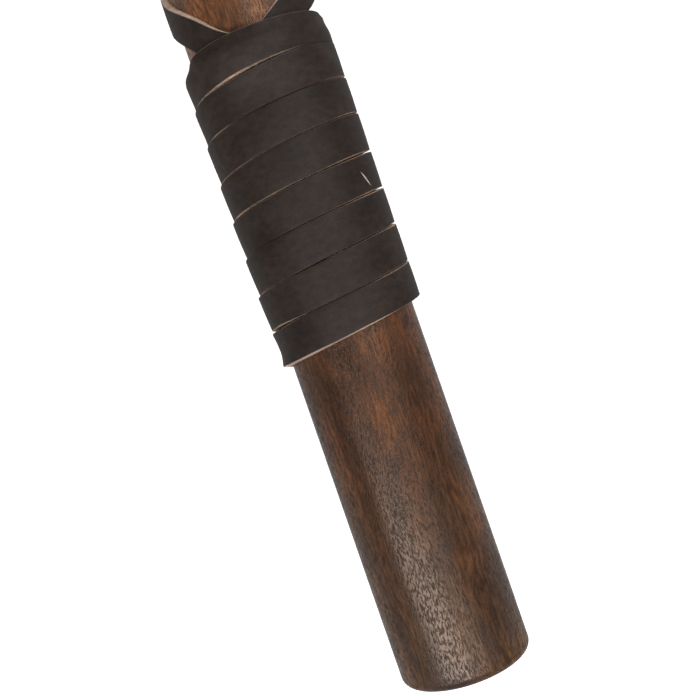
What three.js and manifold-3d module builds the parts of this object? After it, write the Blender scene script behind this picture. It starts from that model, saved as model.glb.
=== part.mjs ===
// A leather fly swatter: a round wooden handle with a leather lace grip, and a punched leather blade
// that is riveted into a saw slot in the handle's end.
//
// Millimetres, +Z up. Shapes are drawn in the handle's own frame: x runs from the butt (0) to the tip of
// the blade, and the handle's axis is y = 0, z = 0. One group then lays the swatter on the XY plane, with
// the origin under the middle of its length.
import * as THREE from 'three';
import * as BufferGeometryUtils from 'three/addons/utils/BufferGeometryUtils.js';
import Module from 'manifold-3d';

const wasm = await Module();
wasm.setup();

// Driving dimensions
const TOTAL_LENGTH = 435;
const HANDLE_LENGTH = 295;
const WOOD_RADIUS = 12.7;
const BUTT_ROUNDING = 1.7;
const CLEARANCE = 0.3; // between neighbours that touch on the real object

// The lace: a flat strip of leather, used for the grip, the crossing strands and the binding
const LACE_WIDTH = 6.95;
const LACE_THICKNESS = 1.5;
const LACE_PITCH = LACE_WIDTH + CLEARANCE + 0.08;

// The grip: lace wound side by side in a right-handed helix
const GRIP_LOW_TURN = 70.9; // middle of the turn nearest the butt, at the top of the handle
const GRIP_FULL_TURNS = 7; // from that turn to the last one
const GRIP_LEAN = 0.57; // how far a turn leans towards the head on one side
const GRIP_TAIL = THREE.MathUtils.degToRad(170); // lace beyond the first and last turns, to the underside

// The crossing strands: two laces that spiral opposite ways from the grip to the binding
const CROSSING_START = 119; // where they would cross under the grip, at the top of the handle
const CROSSING_PITCH = 60; // length of handle for each full turn
const STRAND_LOW_END = 131;
const STRAND_HIGH_END = 260;
const BRIDGE_FLAT = 5.2; // half the length of the upper strand that lies flat on the lower one
const BRIDGE_FOOT = 9.5; // where the upper strand is back on the wood

// The binding: two turns over the strands' ends and over the root of the slot
const BINDING_MIDDLE = 255;
const BINDING_TURNS = 2;

// The slot, the flats planed for the rivets, and the rivets
const SLOT_ROOT = 252;
const FLAT_START = 268;
const FLAT_HEIGHT = 9;
const RIVET_PLACES = { lower: 275, upper: 287 };
const RIVET_SHANK_RADIUS = 1.7;
const RIVET_HEAD_RADIUS = 4.2;
const RIVET_HEAD_HEIGHT = 1.6;
const RIVET_TAIL_RADIUS = 2.7;
const BURR_RADIUS = 3.9;
const BURR_THICKNESS = 1;

// The blade: one sheet of leather, drawn as the neck that the handle holds and the part that flexes
const BLADE_THICKNESS = 3;
const NECK_WIDTH = 22;
const FLEX_LINE = 305;
const FLEX_GAP = 1.2; // room for both ends to turn 40 degrees without meeting
const BLADE_WIDTH = 100;
const SHOULDER_END = 341; // where the blade reaches its full width
const BLADE_CORNER = 16;
const HOLE_RADIUS = 3;
const HOLE_ROW_SPACING = 14;
const HOLE_SPACING = 16;
const FIRST_HOLE_ROW = 350;
const HOLE_ROWS = 6;

const SEAT = WOOD_RADIUS + CLEARANCE; // radius of the underside of lace that lies on the wood
const BRIDGE_LIFT = LACE_THICKNESS + CLEARANCE;
const AXIS_HEIGHT = SEAT + BRIDGE_LIFT + LACE_THICKNESS; // it rests on the strands' bridges
const STEPS_PER_TURN = 24; // straight steps in each turn of lace

const wood = new THREE.MeshStandardMaterial({ color: 0x5a3f33, roughness: 0.45, metalness: 0 });
const lace = new THREE.MeshStandardMaterial({ color: 0x382f2d, roughness: 0.6, metalness: 0 });
const bladeLeather = new THREE.MeshStandardMaterial({ color: 0x3d322d, roughness: 0.6, metalness: 0 });
const copper = new THREE.MeshStandardMaterial({ color: 0xb87333, roughness: 0.35, metalness: 1 });

// Keeps only the corners, each one once, so that the faces share them and close up.
function welded(geometry) {
  geometry.deleteAttribute('normal');
  geometry.deleteAttribute('uv');
  const closed = BufferGeometryUtils.mergeVertices(geometry, 1e-4);
  closed.computeVertexNormals();
  return closed;
}

function solidOf(geometry) {
  const closed = welded(geometry);
  const mesh = new wasm.Mesh({
    numProp: 3,
    vertProperties: new Float32Array(closed.attributes.position.array),
    triVerts: new Uint32Array(closed.index.array),
  });
  return new wasm.Manifold(mesh);
}

function geometryOf(solid) {
  const mesh = solid.getMesh();
  const geometry = new THREE.BufferGeometry();
  geometry.setAttribute('position', new THREE.BufferAttribute(mesh.vertProperties, 3));
  geometry.setIndex(new THREE.BufferAttribute(mesh.triVerts, 1));
  geometry.computeVertexNormals();
  return geometry;
}

// A box from its lowest to its highest corner.
function block(low, high) {
  const size = high.map((value, i) => value - low[i]);
  const middle = high.map((value, i) => (value + low[i]) / 2);
  return new THREE.BoxGeometry(...size).translate(...middle);
}

// The turned bar: both ends have a rounded corner.
function makeHandle() {
  const bore = RIVET_SHANK_RADIUS + CLEARANCE;
  const slotHalf = BLADE_THICKNESS / 2 + CLEARANCE;
  const flatWall = WOOD_RADIUS + 1;
  const pastEnd = HANDLE_LENGTH + 1;
  const outline = new THREE.Path();
  outline.moveTo(0, 0);
  outline.lineTo(WOOD_RADIUS - BUTT_ROUNDING, 0);
  outline.absarc(WOOD_RADIUS - BUTT_ROUNDING, BUTT_ROUNDING, BUTT_ROUNDING, -Math.PI / 2, 0, false);
  const headCorner = HANDLE_LENGTH - BUTT_ROUNDING;
  outline.absarc(WOOD_RADIUS - BUTT_ROUNDING, headCorner, BUTT_ROUNDING, 0, Math.PI / 2, false);
  outline.lineTo(0, HANDLE_LENGTH);
  const bar = new THREE.LatheGeometry(outline.getPoints(3), 40).rotateZ(-Math.PI / 2);
  let solid = solidOf(bar);
  solid = solid.subtract(solidOf(block([SLOT_ROOT, -flatWall, -slotHalf], [pastEnd, flatWall, slotHalf])));
  solid = solid.subtract(solidOf(block([FLAT_START, -flatWall, FLAT_HEIGHT], [pastEnd, flatWall, flatWall])));
  solid = solid.subtract(solidOf(block([FLAT_START, -flatWall, -flatWall], [pastEnd, flatWall, -FLAT_HEIGHT])));
  for (const place of Object.values(RIVET_PLACES)) {
    const drill = new THREE.CylinderGeometry(bore, bore, 2 * flatWall, 16).rotateX(Math.PI / 2);
    solid = solid.subtract(solidOf(drill.translate(place, 0, 0)));
  }
  return geometryOf(solid);
}

// A strip bent round the bar. It starts as a thin box with its length on x and its width on y; route()
// says where each point of that flat strip goes: its place along the bar, its angle and its radius.
// The angle is 0 at the top of the bar and grows towards -Y.
function bentStrip(length, steps, route) {
  const strip = new THREE.BoxGeometry(length, LACE_WIDTH, LACE_THICKNESS, steps, 2, 1);
  const corners = strip.attributes.position;
  for (let i = 0; i < corners.count; i += 1) {
    const [along, angle, radius] = route(corners.getX(i), corners.getY(i));
    const out = radius + LACE_THICKNESS / 2 + corners.getZ(i);
    corners.setXYZ(i, along, -out * Math.sin(angle), out * Math.cos(angle));
  }
  return welded(strip);
}

// The strip's length is measured in radians here, so one full turn is 2 pi of it.
function makeGripStrap() {
  const wound = 2 * Math.PI * GRIP_FULL_TURNS + 2 * GRIP_TAIL;
  const steps = Math.round((wound / (2 * Math.PI)) * STEPS_PER_TURN);
  return bentStrip(wound, steps, (x, y) => {
    const angle = x + wound / 2 - GRIP_TAIL;
    const advance = (LACE_PITCH * angle) / (2 * Math.PI);
    return [GRIP_LOW_TURN + advance + GRIP_LEAN * Math.sin(angle) + y, angle, SEAT];
  });
}

function makeBinding() {
  const wound = 2 * Math.PI * BINDING_TURNS;
  return bentStrip(wound, BINDING_TURNS * STEPS_PER_TURN, (x, y) => {
    const advance = (LACE_PITCH * x) / (2 * Math.PI);
    return [BINDING_MIDDLE + advance + y, x + Math.PI, SEAT + BRIDGE_LIFT];
  });
}

// A straight strip laid slantwise on the bar. hand is 1 for a right-handed spiral and -1 for a
// left-handed one. A strand that bridges climbs over the other one wherever they cross.
function makeStrand(hand, bridges) {
  const bendRadius = SEAT + LACE_THICKNESS / 2;
  const slant = Math.atan(CROSSING_PITCH / (2 * Math.PI * bendRadius));
  const length = (STRAND_HIGH_END - STRAND_LOW_END) / Math.sin(slant);
  const middle = ((STRAND_HIGH_END + STRAND_LOW_END) / 2 - CROSSING_START) / Math.sin(slant);
  const crossingGap = CROSSING_PITCH / 2 / Math.sin(slant);
  return bentStrip(length, 72, (x, y) => {
    const way = middle + x;
    const along = CROSSING_START + way * Math.sin(slant) + hand * y * Math.cos(slant);
    const angle = (hand * way * Math.cos(slant) - y * Math.sin(slant)) / bendRadius;
    const toCrossing = Math.abs(way - crossingGap * Math.round(way / crossingGap));
    const down = THREE.MathUtils.smoothstep(toCrossing, BRIDGE_FLAT, BRIDGE_FOOT);
    return [along, angle, SEAT + (bridges ? BRIDGE_LIFT * (1 - down) : 0)];
  });
}

// A flat piece of the blade's leather, from an outline in x and y.
function sheet(outline, segments) {
  const settings = { depth: BLADE_THICKNESS, bevelEnabled: false, curveSegments: segments };
  return welded(new THREE.ExtrudeGeometry(outline, settings).translate(0, 0, -BLADE_THICKNESS / 2));
}

function punch(outline, x, y, radius) {
  const hole = new THREE.Path();
  hole.absarc(x, y, radius, 0, 2 * Math.PI, true);
  outline.holes.push(hole);
}

function makeNeck() {
  const half = NECK_WIDTH / 2;
  const start = SLOT_ROOT + CLEARANCE;
  const end = FLEX_LINE - FLEX_GAP / 2;
  const outline = new THREE.Shape();
  outline.moveTo(start, -half);
  outline.lineTo(end, -half);
  outline.lineTo(end, half);
  outline.lineTo(start, half);
  outline.closePath();
  for (const place of Object.values(RIVET_PLACES)) {
    punch(outline, place, 0, RIVET_SHANK_RADIUS + CLEARANCE);
  }
  return sheet(outline, 16);
}

// The blade flares from the neck to its full width, and its rows of holes are staggered.
function makeBlade() {
  const neck = NECK_WIDTH / 2;
  const half = BLADE_WIDTH / 2;
  const start = FLEX_LINE + FLEX_GAP / 2;
  const flare = (start + SHOULDER_END) / 2;
  const corner = BLADE_CORNER;
  const outline = new THREE.Shape();
  outline.moveTo(start, neck);
  outline.lineTo(start, -neck);
  outline.bezierCurveTo(flare, -neck, flare, -half, SHOULDER_END, -half);
  outline.absarc(TOTAL_LENGTH - corner, corner - half, corner, -Math.PI / 2, 0, false);
  outline.absarc(TOTAL_LENGTH - corner, half - corner, corner, 0, Math.PI / 2, false);
  outline.lineTo(SHOULDER_END, half);
  outline.bezierCurveTo(flare, half, flare, neck, start, neck);
  for (let row = 0; row < HOLE_ROWS; row += 1) {
    const inRow = row % 2 ? 5 : 6;
    for (let i = 0; i < inRow; i += 1) {
      const y = (i - (inRow - 1) / 2) * HOLE_SPACING;
      punch(outline, FIRST_HOLE_ROW + row * HOLE_ROW_SPACING, y, HOLE_RADIUS);
    }
  }
  return sheet(outline, 10);
}

// A solid rivet, turned about z: domed head on the upper flat, peened tail under the burr.
function makeRivet(place) {
  const headSeat = FLAT_HEIGHT + CLEARANCE;
  const tailSeat = -(FLAT_HEIGHT + 2 * CLEARANCE + BURR_THICKNESS);
  const profile = [
    [0, tailSeat - 1],
    [RIVET_TAIL_RADIUS * 0.7, tailSeat - 0.8],
    [RIVET_TAIL_RADIUS, tailSeat - 0.2],
    [RIVET_TAIL_RADIUS, tailSeat],
    [RIVET_SHANK_RADIUS, tailSeat],
    [RIVET_SHANK_RADIUS, headSeat],
    [RIVET_HEAD_RADIUS, headSeat],
  ].map(([radius, height]) => new THREE.Vector2(radius, height));
  for (let i = 1; i <= 3; i += 1) {
    const angle = (i / 3) * (Math.PI / 2);
    const height = headSeat + 0.4 + (RIVET_HEAD_HEIGHT - 0.4) * Math.sin(angle);
    profile.push(new THREE.Vector2(i < 3 ? RIVET_HEAD_RADIUS * Math.cos(angle) : 0, height));
  }
  return welded(new THREE.LatheGeometry(profile, 16).rotateX(Math.PI / 2).translate(place, 0, 0));
}

// A washer over the rivet's tail.
function makeBurr(place) {
  const outline = new THREE.Shape();
  outline.absarc(0, 0, BURR_RADIUS, 0, 2 * Math.PI, false);
  punch(outline, 0, 0, RIVET_SHANK_RADIUS + CLEARANCE);
  const settings = { depth: BURR_THICKNESS, bevelEnabled: false, curveSegments: 16 };
  const top = -(FLAT_HEIGHT + CLEARANCE);
  return welded(new THREE.ExtrudeGeometry(outline, settings).translate(place, 0, top - BURR_THICKNESS));
}

const swatter = new THREE.Group();
swatter.position.set(-TOTAL_LENGTH / 2, 0, AXIS_HEIGHT);

function add(name, geometry, material) {
  const mesh = new THREE.Mesh(geometry, material);
  mesh.name = name;
  swatter.add(mesh);
}

add('handle', makeHandle(), wood);
add('grip_strap', makeGripStrap(), lace);
add('cross_strand_right', makeStrand(1, false), lace);
add('cross_strand_left', makeStrand(-1, true), lace);
add('top_binding', makeBinding(), lace);
add('blade_neck', makeNeck(), bladeLeather);
add('blade', makeBlade(), bladeLeather);
for (const [level, place] of Object.entries(RIVET_PLACES)) {
  add(`rivet_${level}`, makeRivet(place), copper);
  add(`burr_${level}`, makeBurr(place), copper);
}

export default swatter;
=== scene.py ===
# %% [markdown]
# # A leather fly swatter
# A turned wooden handle carries a grip of flat leather lace, two crossing strands of the same lace, and
# a punched leather blade riveted into a saw slot. Every piece here replaces a plain CAD piece and has to
# sit where that one does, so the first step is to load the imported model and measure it.

# %% Load the frame
import math

import bpy
import numpy as np
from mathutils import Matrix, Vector


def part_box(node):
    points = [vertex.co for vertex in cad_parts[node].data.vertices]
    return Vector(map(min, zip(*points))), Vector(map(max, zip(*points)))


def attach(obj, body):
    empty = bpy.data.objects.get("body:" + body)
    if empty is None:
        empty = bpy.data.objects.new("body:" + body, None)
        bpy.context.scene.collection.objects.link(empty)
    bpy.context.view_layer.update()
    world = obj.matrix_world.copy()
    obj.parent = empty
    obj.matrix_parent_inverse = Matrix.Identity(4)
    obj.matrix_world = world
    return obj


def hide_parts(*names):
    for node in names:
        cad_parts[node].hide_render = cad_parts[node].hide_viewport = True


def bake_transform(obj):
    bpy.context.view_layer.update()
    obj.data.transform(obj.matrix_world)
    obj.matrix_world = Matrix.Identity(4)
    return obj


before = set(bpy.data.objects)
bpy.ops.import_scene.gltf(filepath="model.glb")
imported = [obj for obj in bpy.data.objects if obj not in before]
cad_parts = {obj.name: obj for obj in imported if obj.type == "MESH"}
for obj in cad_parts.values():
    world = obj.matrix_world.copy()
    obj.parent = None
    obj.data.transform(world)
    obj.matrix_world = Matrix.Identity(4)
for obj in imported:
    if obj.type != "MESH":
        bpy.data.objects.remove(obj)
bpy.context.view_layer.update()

MM = 0.001

# %% [markdown]
# ## Places on a round bar
# Almost everything here lies on the handle, so it is easiest to describe by its place along the bar, its
# angle round it and its radius, as a turner would. One function turns those three into points in space.

# %% The bar's own coordinates
bar_low, bar_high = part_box("handle")
BAR_LENGTH = bar_high.x - bar_low.x
BAR_RADIUS = (bar_high.y - bar_low.y) / 2
AXIS_Z = (bar_high.z + bar_low.z) / 2


def smooth(low, high, value):
    """0 below low, 1 above high, and the curve 3t^2 - 2t^3 between them."""
    t = np.clip((np.asarray(value, float) - low) / (high - low), 0, 1)
    return t * t * (3 - 2 * t)


WAIST = 0.42 * MM  # the head half's radius is this much less, from under the grip's top turn on
WAIST_FROM, WAIST_TO = 121.5 * MM, 124.5 * MM


def wood_radius(along):
    """The bar's radius: full at the butt, less by WAIST past the grip."""
    return BAR_RADIUS - WAIST * smooth(WAIST_FROM, WAIST_TO, along)


def on_bar(along, angle, radius):
    """x is the butt plus along, y is minus radius times sin(angle), z is the axis plus radius times
    cos(angle): the angle is 0 on top of the bar and grows towards -Y."""
    along, angle, radius = np.broadcast_arrays(along, angle, radius)
    x = bar_low.x + along
    return np.stack([x, -radius * np.sin(angle), AXIS_Z + radius * np.cos(angle)], axis=-1)


print(f"bar: {BAR_LENGTH / MM:.0f} mm long, {2 * BAR_RADIUS / MM:.1f} mm thick")

# %% [markdown]
# ## From a grid of points to a mesh
# Each shape is worked out as a whole array of points, rows by columns. Four neighbours make one face.
# A grid can close on itself in its columns, as round a bar, and its two end rows can be capped.

# %% Grid to mesh
def link(obj):
    """Puts an object into the scene."""
    bpy.context.scene.collection.objects.link(obj)
    return obj


def read(items, field, width, kind=np.float32):
    """A field of all points, corners or faces of a mesh as an array, one row each."""
    values = np.zeros(len(items) * width, kind)
    items.foreach_get(field, values)
    return values.reshape(len(items), width)


def skin(name, grid, uv=None, cap=True, flip=False):
    """Faces join point (i, j) to (i+1, j), (i+1, j+1) and (i, j+1), with the last column joined to the
    first. A cap is one face over an end row. flip turns the faces over."""
    rows, cols = grid.shape[:2]
    index = np.arange(rows * cols).reshape(rows, cols)
    after = np.roll(index, -1, axis=1)
    quads = np.stack([index[:-1], index[1:], after[1:], after[:-1]], axis=-1).reshape(-1, 4)
    if flip:
        quads = quads[:, ::-1]
    faces = [list(q) for q in quads.tolist()]
    if cap:
        first, last = index[0].tolist(), index[-1].tolist()
        faces += [first[::-1], last] if flip else [first, last[::-1]]
    mesh = bpy.data.meshes.new(name)
    mesh.from_pydata(grid.reshape(-1, 3).tolist(), [], faces)
    if uv is not None:
        layer = mesh.uv_layers.new(name="UVMap")
        corners = read(mesh.loops, "vertex_index", 1, np.int64)[:, 0]
        layer.data.foreach_set("uv", uv.reshape(-1, 2)[corners].astype(np.float32).ravel())
    mesh.shade_smooth()
    return link(bpy.data.objects.new(name, mesh))


def give(obj, name, values):
    """Stores one number for each point, under a name that a material can read."""
    layer = obj.data.attributes.new(name, "FLOAT", "POINT")
    layer.data.foreach_set("value", np.asarray(values, np.float32).ravel())


print("a ring of 8 points on the bar has shape", on_bar(0, np.linspace(0, 6, 8), BAR_RADIUS).shape)

# %% [markdown]
# ## The camera
# The camera looks square at the handle from close by, over the lower part of the grip, and is rolled so
# that the handle leans. The view is cut off-centre, which the lens shift gives.

# %% Camera
VIEW_DISTANCE = 214.8 * MM
VIEW_FOOT = 76.1 * MM  # from the butt
VIEW_ASIDE = -2.8 * MM
HANDLE_LEAN = math.radians(19.18)
VIEW_WIDTH = 133.5 * MM  # at the handle's axis
SHIFT = -0.098  # of the view's width
SENSOR_MM = 36

camera_data = bpy.data.cameras.new("camera")
camera_data.sensor_width = SENSOR_MM
camera_data.lens = SENSOR_MM * VIEW_DISTANCE / VIEW_WIDTH
camera_data.shift_y = SHIFT
camera_data.clip_start = 0.01
camera = bpy.data.objects.new("camera", camera_data)
camera.location = (bar_low.x + VIEW_FOOT, VIEW_ASIDE, AXIS_Z + VIEW_DISTANCE)
camera.rotation_euler = (0, 0, -math.pi / 2 - HANDLE_LEAN)
link(camera)
bpy.context.scene.camera = camera
print(f"lens {camera_data.lens:.1f} mm")

# %% [markdown]
# ## Materials
# Every material is a small tree of nodes. One helper adds a node, sets its values and links its inputs,
# and one function turns a hex colour as seen on a screen into the linear numbers that Blender adds up.

# %% Helpers for materials
def colour(text):
    """Linear red, green and blue of an sRGB hex colour: c/12.92 when dark, else ((c+0.055)/1.055)^2.4."""
    parts = [int(text[i : i + 2], 16) / 255 for i in (1, 3, 5)]
    return [c / 12.92 if c <= 0.04045 else ((c + 0.055) / 1.055) ** 2.4 for c in parts] + [1]


def add(tree, kind, links=(), **settings):
    """Adds a node. Settings are its properties, or its inputs by name (spaces as underscores). links
    holds pairs of an input's name or number and the socket that feeds it."""
    node = tree.nodes.new(kind)
    for key, value in settings.items():
        if hasattr(node, key):
            setattr(node, key, value)
        else:
            node.inputs[key.replace("_", " ")].default_value = value
    for socket, source in dict(links).items():
        tree.links.new(source, node.inputs[socket])
    return node


def ramp(tree, source, *stops):
    """A colour ramp fed by source. Each stop is a place and a colour or a grey."""
    node = add(tree, "ShaderNodeValToRGB", {0: source})
    while len(node.color_ramp.elements) < len(stops):
        node.color_ramp.elements.new(0.5)
    for element, (place, value) in zip(node.color_ramp.elements, stops):
        element.position = place
        element.color = colour(value) if isinstance(value, str) else (value, value, value, 1)
    return node.outputs["Color"]


def mix(tree, kind, share, first, second):
    """Blends two colours. share and the colours are sockets or values."""
    node = add(tree, "ShaderNodeMix", data_type="RGBA", blend_type=kind)
    for number, value in ((0, share), (6, first), (7, second)):
        if isinstance(value, bpy.types.NodeSocket):
            tree.links.new(value, node.inputs[number])
        else:
            node.inputs[number].default_value = value
    return node.outputs[2]


def new_material(name):
    """A material with nodes. Gives the material, its tree and its Principled shader."""
    material = bpy.data.materials.new(name)
    material.use_nodes = True
    tree = material.node_tree
    return material, tree, tree.nodes["Principled BSDF"]


def stretched(tree, source, size_mm, turn=0.0):
    """source, scaled so that one unit of texture is size_mm along x, y and z, with a turn about z."""
    node = add(tree, "ShaderNodeMapping", {"Vector": source}, vector_type="POINT")
    node.inputs["Rotation"].default_value = (0, 0, turn)
    node.inputs["Scale"].default_value = [1 / (size * MM) for size in size_mm]
    return node.outputs["Vector"]


def noise(tree, source, size_mm, turn=0.0, **settings):
    """Blender's noise with its blobs about size_mm long, wide and high."""
    place = stretched(tree, source, size_mm, turn)
    return add(tree, "ShaderNodeTexNoise", {"Vector": place}, Scale=1, **settings)


print("mid grey #808080 is", round(colour("#808080")[0], 3), "in linear light")

# %% [markdown]
# ### Oiled walnut
# The handle is a turned bar of a dark open-pored hardwood, sanded and oiled. The eye sees red-brown
# wood with darker and smokier streaks along the grain, and short dark pores that break up the sheen.
# All patterns are solid: they read the place in the wood, so they run on round the bar and over its end.

# %% Oiled walnut
PALER_WOOD_FROM = 126 * MM  # past here the wood is paler


def oiled_walnut():
    """Patches, streaks, fibres, smoke and pores, each a noise stretched along the grain, one over the
    other. The pores are also duller and deeper than the wood round them."""
    material, tree, shader = new_material("oiled walnut")
    place = add(tree, "ShaderNodeTexCoord").outputs["Object"]

    # the grain wanders up to 4 mm sideways over 40 mm of length
    drift = noise(tree, place, (38, 12, 12), Detail=1)
    centred = add(tree, "ShaderNodeVectorMath", {0: drift.outputs["Color"]}, operation="SUBTRACT")
    centred.inputs[1].default_value = (0.5, 0.5, 0.5)
    sway = add(tree, "ShaderNodeVectorMath", {0: centred.outputs[0]}, operation="MULTIPLY")
    sway.inputs[1].default_value = (0, 8 * MM, 8 * MM)
    grain = add(tree, "ShaderNodeVectorMath", {0: place, 1: sway.outputs[0]}, operation="ADD").outputs[0]

    # soft patches of redder and darker wood, 15 mm long, and streaks 2 mm apart
    slant = math.radians(-7)  # the grain runs out of the bar at this angle
    patches = noise(tree, grain, (15, 8, 8), slant, Detail=2, Roughness=0.5)
    base = ramp(tree, patches.outputs["Fac"], (0.32, "#583c29"), (0.5, "#7a5032"), (0.66, "#946136"))
    streaks = noise(tree, grain, (22, 1.8, 1.8), slant, Detail=3, Roughness=0.6)
    streak = ramp(tree, streaks.outputs["Fac"], (0.3, 0.6), (0.62, 1.0))
    base = mix(tree, "MULTIPLY", 1.0, base, streak)

    # fine fibres, 0.4 mm apart
    fibres = noise(tree, grain, (3.6, 0.42, 0.42), slant, Detail=2, Roughness=0.6)
    fibre = ramp(tree, fibres.outputs["Fac"], (0.36, 0.4), (0.62, 1.15))
    base = mix(tree, "MULTIPLY", 1.0, base, fibre)

    # smoky patches, 25 mm long, where the heartwood is greyer
    smoke = noise(tree, grain, (25, 7, 7), -slant, Detail=1)
    smoky = ramp(tree, smoke.outputs["Fac"], (0.5, 0.0), (0.7, 0.6))
    base = mix(tree, "MIX", smoky, base, colour("#4d3f39"))

    # open pores: dashes 1 mm long and 0.3 mm wide, close together
    pores = noise(tree, grain, (0.95, 0.28, 0.28), slant, Detail=1, Roughness=0.5, Distortion=0.4)
    pore = ramp(tree, pores.outputs["Fac"], (0.48, 0.0), (0.64, 1.0))
    base = mix(tree, "MULTIPLY", pore, base, colour("#b5a298"))

    # the wood is darker and a bluish grey towards the butt, and paler past the grip
    along = add(tree, "ShaderNodeSeparateXYZ", {0: place}).outputs["X"]
    reach = add(tree, "ShaderNodeMapRange", {"Value": along})
    reach.inputs["From Min"].default_value = bar_low.x
    reach.inputs["From Max"].default_value = bar_low.x + PALER_WOOD_FROM
    lowering = ramp(tree, reach.outputs[0], (0.05, "#bcc8d6"), (0.4, "#bcac9e"), (0.92, "#bcac9e"),
                (1.0, "#f2e6dd"))
    base = mix(tree, "MULTIPLY", 1.0, base, lowering)
    past_grip_share = ramp(tree, reach.outputs[0], (0.92, 0.0), (1.0, 0.1))
    base = mix(tree, "MIX", past_grip_share, base, colour("#8d6b52"))
    tree.links.new(base, shader.inputs["Base Color"])

    # the oil leaves the wood glossier than the open pores, and tints its sheen
    tree.links.new(ramp(tree, pore, (0.0, 0.26), (1.0, 0.6)), shader.inputs["Roughness"])
    height = mix(tree, "MIX", 0.75, fibres.outputs["Color"], ramp(tree, pore, (0.0, 1.0), (1.0, 0.0)))
    bump = add(tree, "ShaderNodeBump", {"Height": height}, Strength=0.75, Distance=0.04 * MM)
    tree.links.new(bump.outputs[0], shader.inputs["Normal"])
    shader.inputs["IOR"].default_value = 1.5
    shader.inputs["Specular Tint"].default_value = colour("#ffe3d0")
    return material


walnut = oiled_walnut()
print("oiled walnut:", len(walnut.node_tree.nodes), "nodes")

# %% [markdown]
# ### Dyed leather with raw edges
# The lace and the blade are vegetable-tanned leather, dyed nearly black-brown on the grain side and cut
# afterwards. The face is a dull satin with a very fine grain; the cut edges and the flesh side keep the
# tan of undyed leather. Each mesh says where it is cut with a number, "cut", from 0 to 1, and where the
# flesh side shows with another, "flesh".

# %% Dyed leather
def dyed_leather(name, dark, light, grain_mm, rough, scratch=None):
    """A face that runs from dark to light in clouds, with pebbles grain_mm wide. Places are read from
    the UV map, in metres. scratch is the middle, length, width and turn of a scraped mark on that map."""
    material, tree, shader = new_material(name)
    place = add(tree, "ShaderNodeUVMap", uv_map="UVMap").outputs["UV"]
    cut = add(tree, "ShaderNodeAttribute", attribute_name="cut").outputs["Fac"]
    flesh = add(tree, "ShaderNodeAttribute", attribute_name="flesh").outputs["Fac"]

    # the dye has taken in clouds; the grain's pebbles are darker at their rims
    cloud = noise(tree, place, (14, 9, 9), Detail=4)
    dyed = ramp(tree, cloud.outputs["Fac"], (0.35, 0.0), (0.68, 1.0))
    face = mix(tree, "MIX", dyed, colour(dark), colour(light))
    pebble_place = stretched(tree, place, [grain_mm] * 3)
    pebbles = add(tree, "ShaderNodeTexVoronoi", {"Vector": pebble_place}, Scale=1)
    speckle = ramp(tree, pebbles.outputs["Distance"], (0.0, 1.0), (0.7, 0.75))
    face = mix(tree, "MULTIPLY", 1.0, face, speckle)
    mottle = noise(tree, place, (1.6, 1.2, 1.2), Detail=2)
    mottled = ramp(tree, mottle.outputs["Fac"], (0.35, 0.7), (0.65, 1.12))
    face = mix(tree, "MULTIPLY", 1.0, face, mottled)

    # undyed fibres show on the cut edges, and darker ones on the flesh side
    fibre = noise(tree, place, (1.2, 0.25, 0.25), Detail=3, Roughness=0.7)
    raw = ramp(tree, fibre.outputs["Fac"], (0.3, "#ad9280"), (0.55, "#d0b6a1"), (0.75, "#e8d5c4"))
    back = ramp(tree, fibre.outputs["Fac"], (0.3, "#6e5443"), (0.7, "#9c7d66"))
    if scratch:  # the mark fades out over an ellipse
        middle, length, width, turn = scratch
        mark = add(tree, "ShaderNodeMapping", {"Vector": place}, vector_type="TEXTURE")
        mark.inputs["Location"].default_value = (*middle, 0)
        mark.inputs["Rotation"].default_value = (0, 0, turn)
        mark.inputs["Scale"].default_value = (length / 2, width / 2, 1)
        near = add(tree, "ShaderNodeTexGradient", {"Vector": mark.outputs[0]}, gradient_type="SPHERICAL")
        scraped = ramp(tree, near.outputs["Fac"], (0.0, 0.0), (0.4, 1.0))
        face = mix(tree, "MIX", scraped, face, colour("#c0aaa2"))
    shown = mix(tree, "MIX", flesh, face, back)
    shown = mix(tree, "MIX", cut, shown, raw)
    tree.links.new(shown, shader.inputs["Base Color"])

    dull = ramp(tree, cloud.outputs["Fac"], (0.3, rough), (0.7, rough + 0.1))
    tree.links.new(mix(tree, "MIX", cut, dull, (0.8, 0.8, 0.8, 1)), shader.inputs["Roughness"])
    relief = mix(tree, "MIX", 0.5, pebbles.outputs["Distance"], fibre.outputs["Color"])
    bump = add(tree, "ShaderNodeBump", {"Height": relief}, Strength=0.25, Distance=0.08 * MM)
    tree.links.new(bump.outputs[0], shader.inputs["Normal"])
    shader.inputs["IOR"].default_value = 1.45
    shader.inputs["Specular IOR Level"].default_value = 0.3
    return material


# something sharp has scraped the grip's fourth turn: a mark 3.6 mm long, steeply across the lace
SCRATCH_PLACE = ((6 * math.pi + math.radians(53.3)) * BAR_RADIUS, 92.9 * MM)
SCRATCH = (SCRATCH_PLACE, 3.6 * MM, 0.34 * MM, math.atan2(-3.0, 1.65))
lace_leather = dyed_leather("dyed lace leather", "#241914", "#342720", 0.35, 0.5, SCRATCH)
print("dyed lace leather:", len(lace_leather.node_tree.nodes), "nodes")

# %% [markdown]
# ## The handle
# The bar is turned: its outline, radius against length, is carried round the axis. The planed flats at
# the head end are part of the same formula, because a flat only limits the radius at each angle. The
# slot can't be written as a radius, so it is sawn with a Boolean.

# %% Handle
FLAT_HEIGHT = 9 * MM
FLAT_START = 268 * MM
FLAT_STEP = 0.05 * MM  # half the length of the flats' shoulder
SLOT_ROOT = 252 * MM
ROUNDING = 1.7 * MM
SLOT_ROOM = 0.1 * MM  # between the slot's walls and the sheet
BUTT_SKEW = 0.3 * MM  # the butt was sawn this much out of square
SKEW_FADE = 60 * MM
END_RINGS = (0.02, 0.6)  # rings on an end face, as shares of the bar's radius


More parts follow.
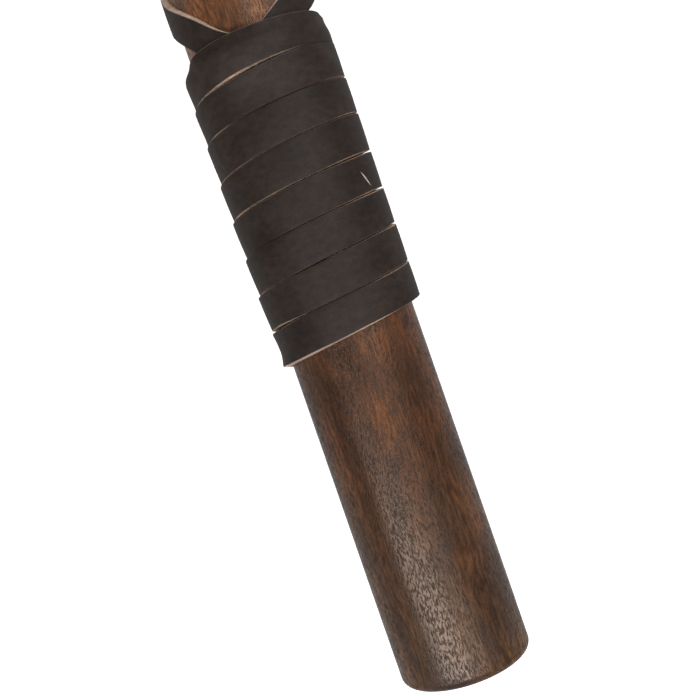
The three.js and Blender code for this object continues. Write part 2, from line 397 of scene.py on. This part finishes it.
def rounded_ends(length, radius, rounding, steps=10):
    """Quarter circles at a bar's two ends as (place, radius) pairs: place is rounding (1 - cos t) from
    the end, and radius is the bar's less rounding (1 - sin t). The far end is thinner by WAIST."""
    turn = np.linspace(0, np.pi / 2, steps)
    corner = np.stack([rounding * (1 - np.cos(turn)), radius - rounding * (1 - np.sin(turn))], axis=1)
    far = np.stack([length - corner[::-1, 0], corner[::-1, 1] - WAIST], axis=1)
    return corner, far


def make_handle():
    """Radius is the turned outline, cut to FLAT_HEIGHT / |cos(angle)| past the flats' shoulder. Two small
    rings fill each end face. The skew moves a point along by sin(angle), and fades out from the butt."""
    near, far = rounded_ends(BAR_LENGTH, BAR_RADIUS, ROUNDING)
    middle = np.linspace(ROUNDING, BAR_LENGTH - ROUNDING, 200)[1:-1]
    middle = np.sort(np.append(middle, [FLAT_START - FLAT_STEP, FLAT_START + FLAT_STEP]))
    ends = np.array([[0, share * BAR_RADIUS] for share in END_RINGS])
    tip = np.array([[BAR_LENGTH, share * BAR_RADIUS] for share in END_RINGS[::-1]])
    straight = np.stack([middle, wood_radius(middle)], axis=1)
    outline = np.concatenate([ends, near, straight, far, tip])
    angle = np.linspace(0, 2 * np.pi, 192, endpoint=False)
    along, radius = outline[:, :1], outline[:, 1:]
    flat = FLAT_HEIGHT / np.maximum(np.abs(np.cos(angle)), 0.05)
    planed = np.minimum(radius, flat[None, :])
    radius = np.where(along > FLAT_START, planed, np.broadcast_to(radius, planed.shape))
    skew = BUTT_SKEW / 2 * (radius / BAR_RADIUS) * np.sin(angle) * (1 - smooth(0, SKEW_FADE, along))
    return skin("walnut_handle", on_bar(along - skew, angle[None, :], radius), flip=True)


def box_mesh(name, low, high):
    """A box from its lowest to its highest corner, as a tool for a Boolean."""
    xs, ys, zs = zip(low, high)
    corners = [(x, y, z) for x in xs for y in ys for z in zs]
    faces = [(0, 1, 3, 2), (4, 6, 7, 5), (0, 4, 5, 1), (2, 3, 7, 6), (0, 2, 6, 4), (1, 5, 7, 3)]
    mesh = bpy.data.meshes.new(name)
    mesh.from_pydata(corners, [], faces)
    return link(bpy.data.objects.new(name, mesh))


def apply_modifiers(obj):
    """Makes the shape that the modifiers give the object's own mesh."""
    depsgraph = bpy.context.evaluated_depsgraph_get()
    result = bpy.data.meshes.new_from_object(obj.evaluated_get(depsgraph))
    obj.modifiers.clear()
    obj.data = result


def cut_with(obj, tool):
    """Takes tool away from obj for good, and deletes tool."""
    modifier = obj.modifiers.new("cut", "BOOLEAN")
    modifier.object = tool
    modifier.operation = "DIFFERENCE"
    modifier.solver = "EXACT"
    apply_modifiers(obj)
    bpy.data.objects.remove(tool)


handle = make_handle()
sheet_low, sheet_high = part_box("blade_neck")
SHEET = sheet_high.z - sheet_low.z
saw = box_mesh("saw", (bar_low.x + SLOT_ROOT, -2 * BAR_RADIUS, AXIS_Z - SHEET / 2 - SLOT_ROOM),
               (bar_high.x + 1 * MM, 2 * BAR_RADIUS, AXIS_Z + SHEET / 2 + SLOT_ROOM))
cut_with(handle, saw)
handle.data.set_sharp_from_angle(angle=math.radians(40))
handle.data.materials.append(walnut)
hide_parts("handle")
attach(handle, "handle_assembly")
print("handle:", len(handle.data.polygons), "faces")

# %% [markdown]
# ## The lace's section
# Lace is cut from a hide with a blade, so its edges are straight and lean in a little, and only the top
# corners are worn round. The section is a loop of points: up the lower cut edge, over the face, down the
# upper cut edge and back along the flesh side.

# %% A strip of leather laid on the bar
# points on a cut edge, a rounded corner, the face and the flesh side
EDGE = 4
ROUND = 4
FACE = 12
BACK = 6
WORN_CORNER = 0.16 * MM


def strip_section(low, high, thickness, lean_low, lean_high, corner):
    """Sideways place v and height h of a closed loop, one loop a row. A cut edge leans in by lean on its
    way up and ends in a quarter circle of radius corner; the face is crowned by 3% of the thickness."""
    sizes = np.broadcast_arrays(low, high, thickness, lean_low, lean_high)
    low, high, thickness, lean_low, lean_high = [size[:, None] for size in sizes]
    rise = np.linspace(0, 1, EDGE)[None, :]
    turn = np.linspace(0, np.pi / 2, ROUND + 1)[None, 1:]
    across = np.linspace(0, 1, FACE)[None, 1:-1]
    wall = thickness - corner
    edge_low = (low + lean_low * rise, wall * rise)
    corner_low = (low + lean_low + corner * (1 - np.cos(turn)), wall + corner * np.sin(turn))
    start, stop = low + lean_low + corner, high - lean_high - corner
    face = (start + (stop - start) * across, thickness * (1 + 0.03 * np.sin(np.pi * across)))
    turn = turn[:, ::-1]
    corner_high = (high - lean_high - corner * (1 - np.cos(turn)), wall + corner * np.sin(turn))
    edge_high = (high - lean_high * rise[:, ::-1], wall * rise[:, ::-1])
    under = (high + (low - high) * np.linspace(0, 1, BACK)[None, 1:-1], 0 * high)
    parts = [edge_low, corner_low, face, corner_high, edge_high, under]
    rows = low.shape[0]
    v = np.concatenate([np.broadcast_to(a, (rows, np.shape(a)[1])) for a, _ in parts], axis=1)
    h = np.concatenate([np.broadcast_to(b, (rows, a.shape[1])) for a, b in parts], axis=1)
    return v, h


def section_masks():
    """For each point of the section: how far it belongs to the lower cut edge, the upper cut edge and
    the flesh side."""
    fade = np.linspace(1, 0, ROUND + 1)[1:] ** 2
    low = np.concatenate([np.ones(EDGE), fade, np.zeros(FACE - 2 + ROUND + EDGE + BACK - 2)])
    before = np.zeros(EDGE + ROUND + FACE - 2)
    high = np.concatenate([before, fade[::-1], np.ones(EDGE), np.zeros(BACK - 2)])
    flesh = np.concatenate([before, np.zeros(ROUND + EDGE), np.ones(BACK - 2)])
    return low, high, flesh


def lay_strip(name, low, high, to_bar, lift, lengthwise, thickness=1.55 * MM, lean_low=0.1 * MM,
              lean_high=0.1 * MM, tan_low=1.0, tan_high=1.0, press=None):
    """Carries the section along the strip. to_bar(v) turns sideways places into (along, angle) on the
    bar; lift(along, angle, share) is the underside's height over the wood, where share runs from 0 at
    the lower edge to 1 at the upper one. press(angle, share) thins the lace. lengthwise is the distance
    along the strip, for the UV map. tan says how much of a cut edge's tan is seen; the ends show it all."""
    v, h = strip_section(low, high, thickness, lean_low, lean_high, WORN_CORNER)
    share = (v - low[:, None]) / (high - low)[:, None]
    along, angle = to_bar(v)
    if press:
        h = h * press(angle, share)
    radius = wood_radius(along) + lift(along, angle, share) + h
    uv = np.stack([np.broadcast_to(lengthwise[:, None], v.shape), v], axis=-1)
    obj = skin(name, on_bar(along, angle, radius), uv=uv)
    mask_low, mask_high, flesh = section_masks()
    rows = len(low)
    tan = mask_low[None, :] * np.broadcast_to(tan_low, rows)[:, None]
    tan = tan + mask_high[None, :] * np.broadcast_to(tan_high, rows)[:, None]
    tan[[0, -1]] = 1
    give(obj, "cut", tan)
    give(obj, "flesh", np.broadcast_to(flesh, v.shape))
    obj.data.materials.append(lace_leather)
    print(f"{name}: {len(obj.data.polygons)} faces")
    return obj


print("points round the section:", len(section_masks()[0]))

# %% [markdown]
# ## The crossing strands
# Two laces spiral up the handle in opposite directions and cross every half turn, on top and underneath.
# The left one climbs over the right one at each crossing. A strip laid slantwise on a cylinder is a
# straight strip on the unrolled surface, so its edges stay parallel. Wood is smooth and lace slips, so
# just above the grip both sag off their lines, and the right one stands a little off the wood.

# %% Crossing strands
STRAND_CROSSING = 120.3 * MM
STRAND_PITCH = 60 * MM
STRAND_WIDTH = 5.9 * MM
STRAND_LOW = 122.4 * MM  # under the grip's top turn
STRAND_HIGH = 259.5 * MM  # under the binding
LACE = 1.45 * MM  # thickness
SLANT = math.atan(STRAND_PITCH / (2 * math.pi * (BAR_RADIUS + LACE / 2)))
STAND_OFF = 0.95 * MM  # most room under the right strand, on the side of the bar
STAND_OFF_FROM, STAND_OFF_TO = 136 * MM, 146 * MM  # it comes down to the wood between these


def strand_distance(along, angle, hand):
    """Distance on the unrolled surface, square to the strand, from its middle line."""
    middle = hand * 2 * np.pi * (along - STRAND_CROSSING) / STRAND_PITCH
    apart = (angle - middle + np.pi) % (2 * np.pi) - np.pi
    return np.abs(apart) * BAR_RADIUS * math.sin(SLANT)


def over_strands(along, angle):
    """Height that a lace needs to pass over the strands: the lace's thickness on top of one, falling
    smoothly to nothing beside it."""
    height = 0
    for hand in (1, -1):
        near = strand_distance(along, angle, hand)
        height = np.maximum(height, 1 - smooth(0.4 * STRAND_WIDTH, 1.15 * STRAND_WIDTH, near))
    return height * LACE


def sag_right(turned):
    """The right strand lies lower by 0.62 mm where it leaves the grip and by 1 mm on the side of the bar,
    and is back on its line at the rear."""
    side = 0.62 + 0.4 * smooth(math.radians(35), math.radians(65), turned)
    return side * (1 - smooth(math.radians(120), math.radians(190), turned)) * MM


def sag_left(turned):
    """The left strand dives by 0.8 mm towards the grip, after a slight bow of 0.25 mm the other way."""
    dive = 0.8 * (1 - smooth(math.radians(26), math.radians(48), turned))
    bow = 0.25 * np.exp(-(((turned - math.radians(58)) / math.radians(14)) ** 2))
    return (dive - bow) * MM


def make_strand(name, hand, bridges, sag):
    """A point way along the middle line lies way sin(slant) past the first crossing and way cos(slant)
    round the bar. hand is 1 or -1, and the strand that bridges climbs over the other."""
    way = np.linspace(STRAND_LOW - STRAND_CROSSING, STRAND_HIGH - STRAND_CROSSING, 500) / math.sin(SLANT)
    bend = BAR_RADIUS + LACE / 2
    half = np.full(len(way), STRAND_WIDTH / 2)
    lower_by = sag(way * math.cos(SLANT) / bend)[:, None]

    def to_bar(v):
        along = STRAND_CROSSING + way[:, None] * math.sin(SLANT) + hand * v * math.cos(SLANT) - lower_by
        return along, (hand * way[:, None] * math.cos(SLANT) - v * math.sin(SLANT)) / bend

    def lift(along, angle, share):
        near = strand_distance(along, angle, -hand)
        if bridges:
            return (1 - smooth(0.55 * STRAND_WIDTH, 1.4 * STRAND_WIDTH, near)) * LACE
        beside = smooth(math.radians(30), math.radians(80), angle)
        return STAND_OFF * (beside * (1 - smooth(STAND_OFF_FROM, STAND_OFF_TO, along)))

    strand = lay_strip(name, -half, half, to_bar, lift, way, LACE, lean_low=0.15 * MM, lean_high=0.15 * MM)
    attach(strand, "handle_assembly")
    return strand


right_strand = make_strand("strand_right", 1, False, sag_right)
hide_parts("cross_strand_right")
left_strand = make_strand("strand_left", -1, True, sag_left)
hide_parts("cross_strand_left")

# %% [markdown]
# ## The grip
# The grip is one lace wound side by side. Each turn fills the room between its neighbours, so the seams
# are drawn first: one long curve that climbs a pitch for each turn and leans towards the head on one
# side. Hand winding shows in it: some turns slipped by a few tenths of a millimetre, and here and there
# a seam gapes or is pressed shut. The top turn passes over the strands, so it swells, and its upper edge
# dips at the left and is pressed round at both sides.

# %% Grip strap
GRIP_START = 66.8 * MM
GRIP_PITCH = 7.2875 * MM
GRIP_TURNS = 8
# one value for each seam, from the lowest turn's free edge to the top one's
SLIP_MM = (0.10, -0.19, -0.08, -0.05, -0.10, 0.18, 0.28, 0.03, -0.10)
LEAN_MM = (0.75, 0.52, 0.74, 0.62, 0.53, 0.75, 0.41, 0.69, -0.86)
TAIL = math.radians(170)  # the lace starts this far before a top and ends this far past one
DIP = 1.8 * MM  # how much lower the top turn's upper edge is in the middle of its dip
DIP_PLACE, DIP_WIDTH = -100, 55  # degrees from the top of the bar, and degrees
LOOSE_FROM, LOOSE_TO = 90 * MM, 110 * MM  # past these the turns stand further off one side
RIDE_FROM, RIDE_TO = 112 * MM, 122 * MM  # between these the lace climbs onto the strands


def seam(angle):
    """Where a seam lies along the bar: pitch times turns, plus slip, plus lean times sin(angle). Slip and
    lean run evenly from one turn's value to the next."""
    turn = angle / (2 * np.pi)
    steps = np.arange(GRIP_TURNS + 1)
    slip = np.interp(turn, steps, SLIP_MM) * MM
    lean = np.interp(turn, steps, LEAN_MM) * MM
    return GRIP_START + GRIP_PITCH * turn + slip + lean * np.sin(angle)


def at_seams(angle, places):
    """Sum of flat-topped bells, height times exp(-x^4). Each place is a turn, an angle in degrees, a
    half width in degrees and a height."""
    total = np.zeros_like(angle)
    for turn, middle, half, height in places:
        apart = np.degrees(angle) - 360 * turn - middle
        total += height * np.exp(-((apart / half) ** 4))
    return total


# seams that gape, by millimetres, and seams that are pressed shut, by a share from 0 to 1
OPENINGS = ((7, -8, 24, 0.24), (2, 4, 30, 0.18), (1, -68, 22, 0.35), (4, 45, 20, 0.12))
PRESSED = ((7, 85, 60, 1.0), (6, 8, 45, 1.0), (5, 5, 42, 0.6), (4, 15, 30, 0.3), (3, -25, 45, 0.85),
           (2, -5, 50, 0.65), (1, 0, 32, 0.8), (5, 180, 90, 0.4), (3, 190, 60, 0.7), (1, 170, 80, 0.5))


def make_grip():
    """The lace's lower edge at an angle is the seam there, and its upper edge is the seam a turn later."""
    stations = 150 * GRIP_TURNS
    angle = np.linspace(-TAIL, 2 * np.pi * (GRIP_TURNS - 1) + TAIL, stations)
    above = angle + 2 * np.pi

    def open_share(a):
        """1 where a seam is not pressed at all."""
        return np.clip(1 - at_seams(a, PRESSED), 0, 1)

    def gap(a):
        """Width of the gap along a seam; each of the two turns beside it gives way by half."""
        return (0.01 + 0.03 * open_share(a) + at_seams(a, OPENINGS)) * MM

    def shown(a):
        """How much of the tan edge is seen along a seam, with a slow waver."""
        return open_share(a) * (0.8 + 0.2 * np.sin(5.3 * a) * np.sin(2.1 * a + 1))

    # the lowest turn has no neighbour below it, so no gap there
    lower = seam(angle) + np.where(angle > np.pi / 2, 0.5, 0) * gap(angle)
    from_dip = np.degrees(above) - 360 * GRIP_TURNS - DIP_PLACE
    dip = DIP * np.exp(-((from_dip / DIP_WIDTH) ** 2))
    upper = seam(above) - 0.5 * gap(above) - dip
    top_turn = 2 * np.pi * (GRIP_TURNS - 1) - np.pi

    def to_bar(v):
        return v, np.broadcast_to(angle[:, None], v.shape)

    def lift(along, turned, share):
        """In millimetres: each turn tilts up towards its upper edge, stands off one side of the bar, and
        the lowest turn flares at its lower edge. Over the strands the lace rides up."""
        lowest = turned < np.pi
        tilt = (0.28 - 0.2 * np.sin(turned)) * share * (1 - 0.5 * lowest)
        loose = 0.12 * smooth(LOOSE_FROM, LOOSE_TO, along) * np.sin(turned)
        side = 0.17 * (1 + np.sin(turned)) + loose
        flare = 0.35 * lowest * (1 - smooth(0, 0.45, share)) * np.exp(-(((turned + 1.3) / 0.6) ** 2))
        tuck = over_strands(along, turned) * smooth(RIDE_FROM, RIDE_TO, along)
        return np.maximum(tilt + side + flare, 0) * MM + tuck

    def press(turned, share):
        """Share of the thickness that is left: the top turn's upper edge is rounded by a quarter circle
        at both sides of the bar, and the lowest turn is hollowed by a fifth on one side."""
        beside = smooth(0.6, 0.95, np.abs(np.sin(turned))) * (turned > top_turn)
        inward = np.clip((1 - share) / (0.17 - 0.05 * np.sin(turned)), 0, 1)
        lowering = 0.8 * beside * (1 - np.sqrt(1 - (1 - inward) ** 2))
        hollow = 0.2 * (turned < np.pi) * np.exp(-(((turned + 1.4) / 0.8) ** 2)) * np.sin(np.pi * share)
        return 1 - lowering - hollow

    # the lowest turn's free edge leans in further than the others
    lean_low = 0.24 * shown(angle) + 0.16 * (angle < np.pi) * (0.6 - 0.4 * np.sin(angle))
    grip = lay_strip("grip_lace", lower, upper, to_bar, lift, angle * BAR_RADIUS,
                     lean_low=lean_low * MM, lean_high=0.15 * shown(above) * MM,
                     tan_low=shown(angle), tan_high=shown(above), press=press)
    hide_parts("grip_strap")
    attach(grip, "handle_assembly")


make_grip()

# %% [markdown]
# ## The binding
# Two turns of lace hold the strands' ends and keep the slot from splitting the wood further. It lies on
# the wood between the strands and rides up over them.

# %% Binding
BINDING_MIDDLE = 255 * MM
BINDING_TURNS = 2
BINDING_GAP = 0.1 * MM
BINDING_TILT = 0.15 * MM  # its upper edge stands this much higher


def make_binding():
    """The lace's middle line climbs a pitch for each turn, evenly."""
    angle = np.linspace(-np.pi * BINDING_TURNS, np.pi * BINDING_TURNS, 300)
    middle = BINDING_MIDDLE + GRIP_PITCH * angle / (2 * np.pi)
    half = (GRIP_PITCH - BINDING_GAP) / 2
    turned = angle + np.pi

    def to_bar(v):
        return v, np.broadcast_to(turned[:, None], v.shape)

    def lift(along, around, share):
        return over_strands(along, around) + BINDING_TILT * share

    binding = lay_strip("binding_lace", middle - half, middle + half, to_bar, lift, angle * BAR_RADIUS)
    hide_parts("top_binding")
    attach(binding, "handle_assembly")


make_binding()

# %% [markdown]
# ## The blade
# Blade and neck are one sheet of thick leather. Its half width is a formula of its length: straight in
# the slot, a smooth flare, straight again, and a quarter circle at each far corner. The holes are punched
# with a Boolean and every edge is then eased with a small bevel.

# %% Blade
blade_leather = dyed_leather("dyed blade leather", "#261c17", "#43342a", 0.8, 0.45)
BLADE_CORNER = 16 * MM
SHOULDER = 341 * MM
HOLE_RADIUS = 3 * MM
HOLE_ROWS = 6
ROW_SPACING = 14 * MM
HOLE_SPACING = 16 * MM
FIRST_ROW = 350 * MM
PUNCH_SIDES = 32
PUNCH_REACH = 4 * MM  # above and below the sheet's middle
SHAVED = 0.1 * MM  # the sheet is this much thinner than its CAD piece


def blade_outline():
    """Rows of (x, half width): neck; flare, x a cubic with both handles halfway and the width its smooth
    step; straight part; corner arc, half - r (1 - cos a) against tip - r (1 - sin a)."""
    flap_low, flap_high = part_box("blade")
    neck = sheet_high.y
    half = flap_high.y
    start, tip = flap_low.x, flap_high.x
    shoulder = bar_low.x + SHOULDER
    flare = (start + shoulder) / 2
    t = np.linspace(0, 1, 26)[1:]
    x_neck = np.linspace(sheet_low.x, start, 50)
    x_flare = start * (1 - t) ** 3 + 3 * flare * (t * (1 - t) ** 2 + t * t * (1 - t)) + shoulder * t**3
    x_flat = np.linspace(shoulder, tip - BLADE_CORNER, 40)[1:]
    turn = np.linspace(0, np.pi / 2, 14)[1:]
    x = np.concatenate([x_neck, x_flare, x_flat, tip - BLADE_CORNER * (1 - np.sin(turn))])
    y_flare = neck + (half - neck) * (3 * t * t - 2 * t**3)
    y_corner = half - BLADE_CORNER * (1 - np.cos(turn))
    y = np.concatenate([0 * x_neck + neck, y_flare, 0 * x_flat + half, y_corner])
    return x, y


def punches():
    """All hole punches as one mesh of round prisms, in staggered rows of six and five."""
    centres = []
    for row in range(HOLE_ROWS):
        count = 5 if row % 2 else 6
        for i in range(count):
            x = bar_low.x + FIRST_ROW + row * ROW_SPACING
            centres.append((x, (i - (count - 1) / 2) * HOLE_SPACING))
    turn = np.linspace(0, 2 * np.pi, PUNCH_SIDES, endpoint=False)
    points, faces = [], []
    for x, y in centres:
        lower = list(range(len(points), len(points) + PUNCH_SIDES))
        upper = [i + PUNCH_SIDES for i in lower]
        for z in (-PUNCH_REACH, PUNCH_REACH):
            ring = zip(x + HOLE_RADIUS * np.cos(turn), y + HOLE_RADIUS * np.sin(turn))
            points += [(px, py, AXIS_Z + z) for px, py in ring]
        faces += zip(lower, lower[1:] + lower[:1], upper[1:] + upper[:1], upper)
        faces += [lower[::-1], upper]
    mesh = bpy.data.meshes.new("punches")
    mesh.from_pydata(points, [], faces)
    return link(bpy.data.objects.new("punches", mesh))


def make_blade():
    """The sheet takes the lace's section, punched and eased. Faces that stand upright are cut edges,
    and those that look down are the flesh side."""
    x, half = blade_outline()
    lean = 0.1 * MM
    v, h = strip_section(-half, half, SHEET - SHAVED, lean, lean, corner=0.4 * MM)
    z = AXIS_Z - SHEET / 2 + SHAVED / 2 + h
    grid = np.stack([np.broadcast_to(x[:, None], v.shape), -v, z], axis=-1)
    blade = skin("leather_blade", grid)
    cut_with(blade, punches())
    ease = blade.modifiers.new("ease", "BEVEL")
    ease.limit_method = "ANGLE"
    ease.angle_limit = math.radians(50)
    ease.width = 0.3 * MM
    ease.segments = 2
    apply_modifiers(blade)
    mesh = blade.data
    points = read(mesh.vertices, "co", 3)
    corners = read(mesh.loops, "vertex_index", 1, np.int64)[:, 0]
    layer = mesh.uv_layers.new(name="UVMap")
    layer.data.foreach_set("uv", points[corners][:, :2].ravel())
    up = read(mesh.polygons, "normal", 3)[:, 2]
    for name, values in (("cut", np.abs(up) < 0.6), ("flesh", up < -0.6)):
        mesh.attributes.new(name, "FLOAT", "FACE").data.foreach_set("value", values.astype(np.float32))
    mesh.set_sharp_from_angle(angle=math.radians(50))
    mesh.materials.append(blade_leather)
    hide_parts("blade", "blade_neck")
    print("blade:", len(mesh.polygons), "faces")
    return blade


leather_blade = make_blade()
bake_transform(leather_blade)

# %% [markdown]
# ## Rivets
# Solid copper rivets: a domed head on the upper flat, and below, a washer called a burr, over which the
# end of the shank is hammered into a small dome. Each is turned about its own upright axis.

# %% Rivets and burrs
def hammered_copper():
    """Blotches of tarnish 2.5 mm wide, duller where they are dark, and hammer dents 1.4 mm apart."""
    material, tree, shader = new_material("hammered copper")
    place = add(tree, "ShaderNodeTexCoord").outputs["Object"]
    blotch = noise(tree, place, (2.5, 2.5, 2.5), Detail=3)
    tint = ramp(tree, blotch.outputs["Fac"], (0.35, "#8a4f33"), (0.6, "#b87350"), (0.75, "#cf9068"))
    tree.links.new(tint, shader.inputs["Base Color"])
    tree.links.new(ramp(tree, blotch.outputs["Fac"], (0.3, 0.45), (0.7, 0.25)), shader.inputs["Roughness"])
    dents = add(tree, "ShaderNodeTexVoronoi", {"Vector": stretched(tree, place, (1.4, 1.4, 1.4))}, Scale=1)
    depth = {"Height": dents.outputs["Distance"]}
    bump = add(tree, "ShaderNodeBump", depth, Strength=0.3, Distance=0.15 * MM)
    tree.links.new(bump.outputs[0], shader.inputs["Normal"])
    shader.inputs["Metallic"].default_value = 1
    return material


copper = hammered_copper()


def turned(name, centre_x, outline):
    """Carries (radius, height) pairs round the upright line at centre_x. Heights count from the axis."""
    angle = np.linspace(0, 2 * np.pi, 64, endpoint=False)[None, :]
    radius, height = np.array(outline).T[:, :, None] * MM
    x = centre_x + radius * np.cos(angle)
    grid = np.stack([x, radius * np.sin(angle), np.broadcast_to(AXIS_Z + height, x.shape)], axis=-1)
    obj = skin(name, grid, flip=True)
    obj.data.set_sharp_from_angle(angle=math.radians(50))
    obj.data.materials.append(copper)
    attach(obj, "handle_assembly")
    return obj


def dome(seat, width, rise, rim, steps=10):
    """Quarter ellipse from a rim to the axis: radius is width cos(t), height is the seat's, plus the
    rim's on the side of the rise, plus rise sin(t)."""
    turn = np.linspace(0, np.pi / 2, steps)
    radius = np.maximum(width * np.cos(turn), 0.02)
    return list(zip(radius, seat + math.copysign(rim, rise) + rise * np.sin(turn)))


# radii and heights in millimetres: the shank, its hammered end, and the burr with its hole
SHANK = 1.7
HAMMERED = 2.7
BURR_HOLE = 1.75
BURR_RIM = 3.9
FLAT = FLAT_HEIGHT / MM
BURR_FACE = -FLAT - 1.0
HEAD_RISE, HEAD_RIM = 1.3, 0.3
HAMMERED_RISE, HAMMERED_RIM = -0.8, 0.2
HAMMERED_TIP = (0.02, BURR_FACE - 1.1)

for level in ("lower", "upper"):
    rivet_low, rivet_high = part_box(f"rivet_{level}")
    middle = (rivet_low.x + rivet_high.x) / 2
    head = (rivet_high.x - rivet_low.x) / 2 / MM
    end = dome(BURR_FACE, HAMMERED, HAMMERED_RISE, HAMMERED_RIM)[::-1]
    shank = [(HAMMERED, BURR_FACE), (SHANK, BURR_FACE), (SHANK, FLAT), (head, FLAT)]
    outline = [HAMMERED_TIP] + end[1:] + shank + dome(FLAT, head, HEAD_RISE, HEAD_RIM)
    rivet = turned(f"copper_rivet_{level}", middle, outline)
    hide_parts(f"rivet_{level}")
    inside = [(BURR_HOLE, -FLAT), (BURR_HOLE, BURR_FACE)]
    outside = [(BURR_RIM - 0.3, BURR_FACE), (BURR_RIM, BURR_FACE + 0.25), (BURR_RIM, -FLAT)]
    washer = turned(f"copper_burr_{level}", middle, inside + outside + inside[:1])
    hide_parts(f"burr_{level}")
    print(f"{level} rivet and burr:", len(rivet.data.polygons) + len(washer.data.polygons), "faces")

# %% [markdown]
# ## Floor and light
# The swatter lies on a white light table: a pale floor that glows a little itself, so shadows stay
# faint. It sweeps up far away, so that no low view meets its edge. All lamps are level softboxes: a bank
# of three beyond the butt gives the wood its broad sheen, and two more light the grip and the side.

# %% Stage
# metres: the floor's level part, its edge and how high it sweeps
FLOOR_LEVEL = 2
FLOOR_EDGE = 7
FLOOR_RISE = 1.4


def make_floor():
    """A round sheet. Past its level part, height is the rise times the smooth step of the distance. It
    is hidden from mirror reflections, which would show it too bright."""
    distance = np.append(0.0, np.linspace(FLOOR_LEVEL, FLOOR_EDGE, 20))[:, None]
    turn = np.linspace(0, 2 * np.pi, 64, endpoint=False)[None, :]
    sweep = FLOOR_RISE * smooth(FLOOR_LEVEL, FLOOR_EDGE, distance)
    height = np.broadcast_to(sweep, (len(distance), turn.size))
    grid = np.stack([distance * np.cos(turn), distance * np.sin(turn), height], axis=-1)
    floor = skin("floor", grid, cap=False)
    material, tree, shader = new_material("white acrylic light table")
    shader.inputs["Base Color"].default_value = colour("#d8d8d6")
    shader.inputs["Roughness"].default_value = 0.6
    shader.inputs["Emission Color"].default_value = (1, 1, 1, 1)
    shader.inputs["Emission Strength"].default_value = 0.7
    floor.data.materials.append(material)
    floor.visible_glossy = False


def softbox(name, centre, length, width, brightness):
    """A level lamp that glows with the same brightness whatever its size: its power is pi times area
    times brightness. Its length lies across the handle."""
    lamp = bpy.data.lights.new(name, "AREA")
    lamp.shape = "RECTANGLE"
    lamp.size = width
    lamp.size_y = length
    lamp.energy = math.pi * length * width * brightness
    obj = bpy.data.objects.new(name, lamp)
    obj.location = centre
    obj.visible_camera = False
    link(obj)
    print(f"{name}: {lamp.energy:.1f} W")


make_floor()
butt = Vector((bar_low.x, 0, AXIS_Z))
# place from the middle of the butt, length and width in metres, and brightness
LAMPS = (
    ("butt_softbox_left", (-0.27, 0.80, 0.75), 0.46, 0.18, 9.0),
    ("butt_softbox", (-0.27, 0.26, 0.75), 0.62, 0.20, 11.5),
    ("butt_softbox_right", (-0.30, -0.27, 0.75), 0.44, 0.27, 3.5),
    ("grip_softbox", (0.22, -0.42, 0.75), 0.7, 0.4, 2.6),
    ("side_softbox", (0.6, -0.9, 0.6), 1.0, 1.0, 1.6),
)
for lamp_name, place, length, width, brightness in LAMPS:
    softbox(lamp_name, butt + Vector(place), length, width, brightness)


def studio_world(above, below):
    """An even grey above the horizon. Below it the world is brighter, because the floor is hidden from
    mirror reflections and the world stands in for it there. The change lies close to the horizon."""
    world = bpy.data.worlds.new("studio")
    world.use_nodes = True
    tree = world.node_tree
    direction = add(tree, "ShaderNodeTexCoord").outputs["Generated"]
    height = add(tree, "ShaderNodeSeparateXYZ", {0: direction}).outputs["Z"]
    steps = add(tree, "ShaderNodeMapRange", {"Value": height})
    steps.inputs["From Min"].default_value = -0.15
    steps.inputs["From Max"].default_value = 0.05
    light = ramp(tree, steps.outputs[0], (0.0, below), (1.0, above))
    tree.links.new(light, tree.nodes["Background"].inputs["Color"])
    bpy.context.scene.world = world


studio_world(above=0.2, below=0.5)
bpy.context.scene.view_settings.view_transform = "Standard"
